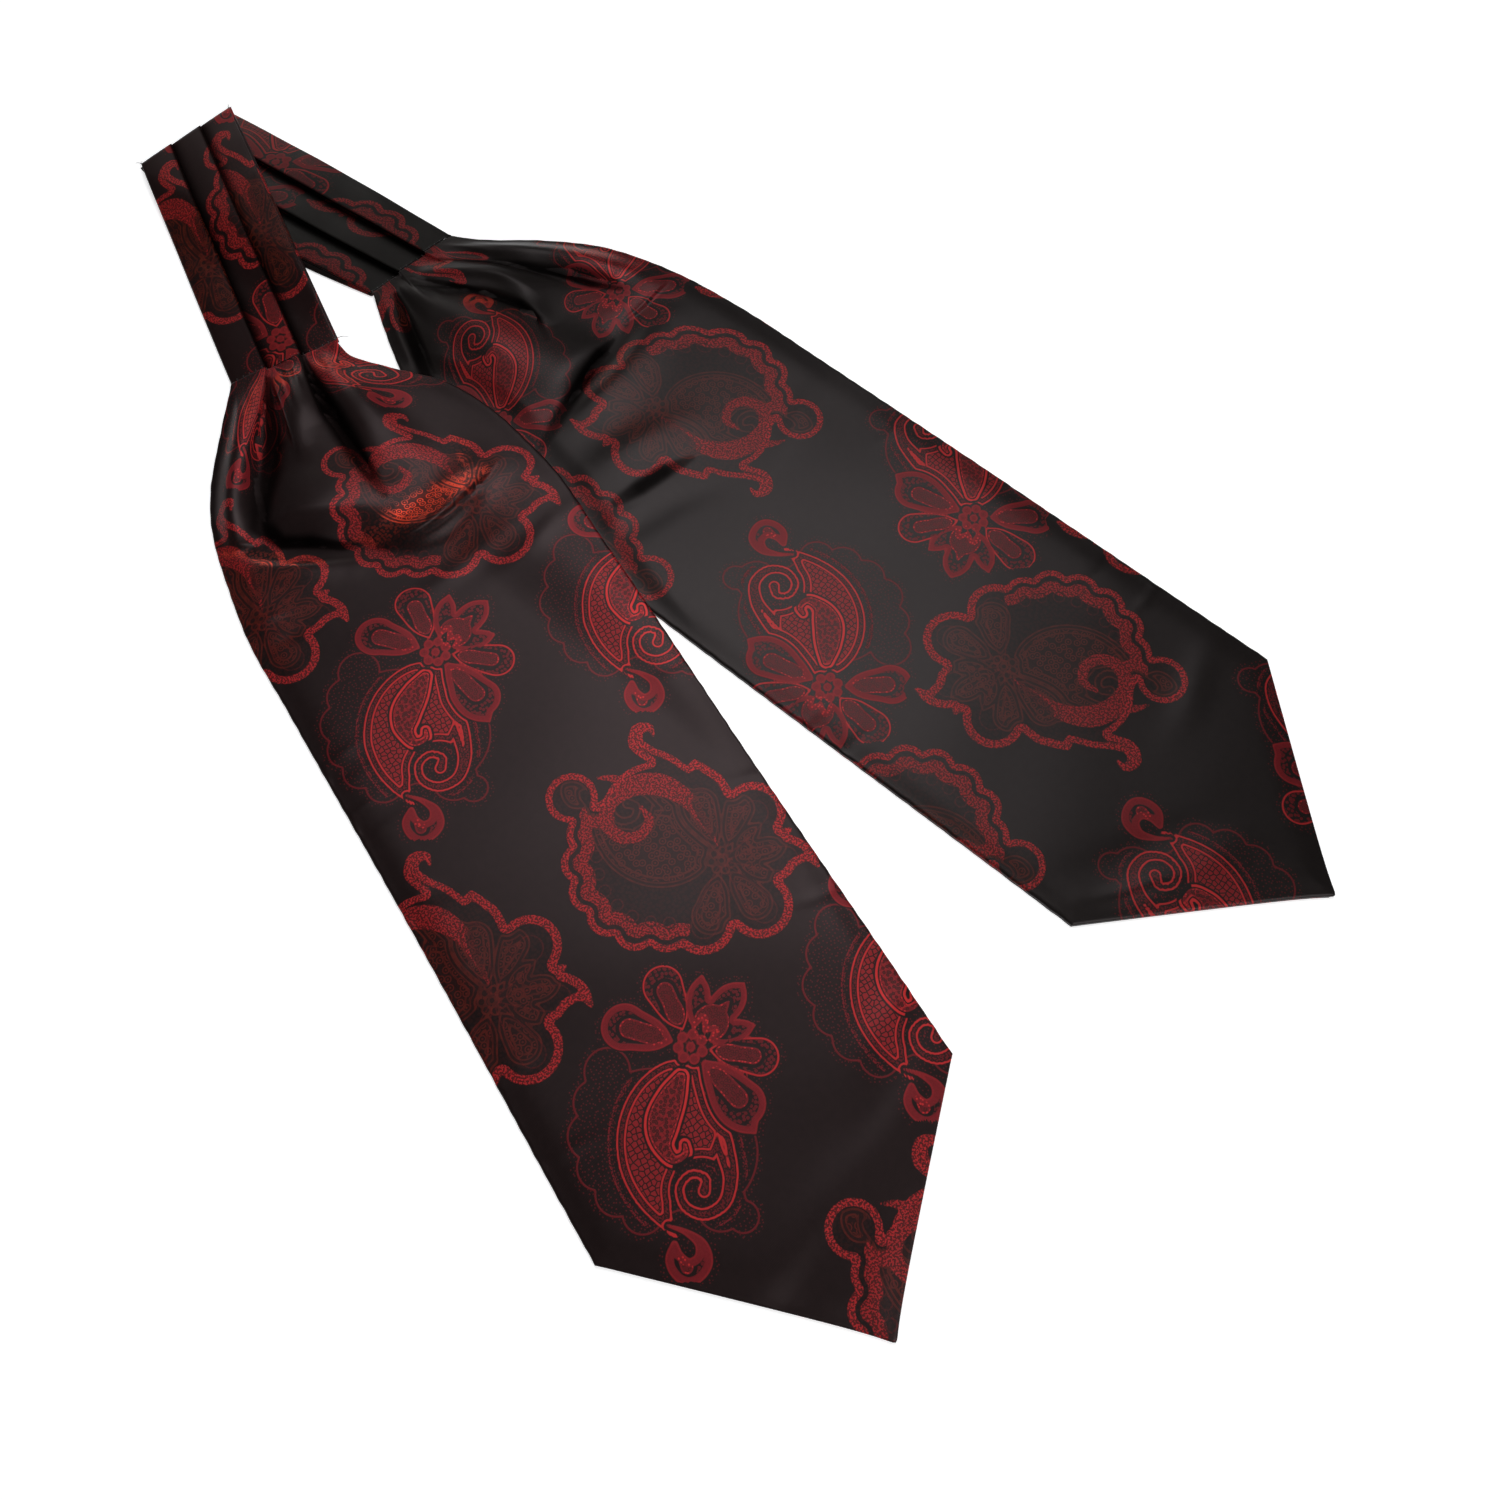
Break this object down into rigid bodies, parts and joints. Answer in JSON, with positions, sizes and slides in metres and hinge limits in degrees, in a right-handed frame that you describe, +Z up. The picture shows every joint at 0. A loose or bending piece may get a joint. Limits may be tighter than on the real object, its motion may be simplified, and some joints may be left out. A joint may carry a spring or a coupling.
{
  "type": "silk day cravat with two pointed blades and a pleated neckband, laid flat",
  "caption": "Silk day cravat laid flat and folded over at the centre back: two wide pointed blades on a narrow knife-pleated neckband, black satin with red paisley.",
  "frame": {"origin": "centre of the footprint, on the surface the cravat lies on", "axes": "+Z up from that surface; +Y towards the centre-back fold of the neckband; +X towards the right blade"},
  "size_m": [0.5231, 0.5584, 0.0107],
  "materials": {
    "silk_left_blade": "black satin silk with a red jacquard paisley, warm sheen",
    "silk_right_blade": "black satin silk with a red jacquard paisley, cool sheen",
    "silk_neckband": "black satin silk with a red jacquard paisley, pressed pleats"
  },
  "bodies": {
    "root": {"blade_left_front": "silk_left_blade", "blade_left_back": "silk_left_blade", "blade_right_front": "silk_right_blade", "blade_right_back": "silk_right_blade", "neckband_left": "silk_neckband", "neckband_right": "silk_neckband"}
  },
  "joints": []
}
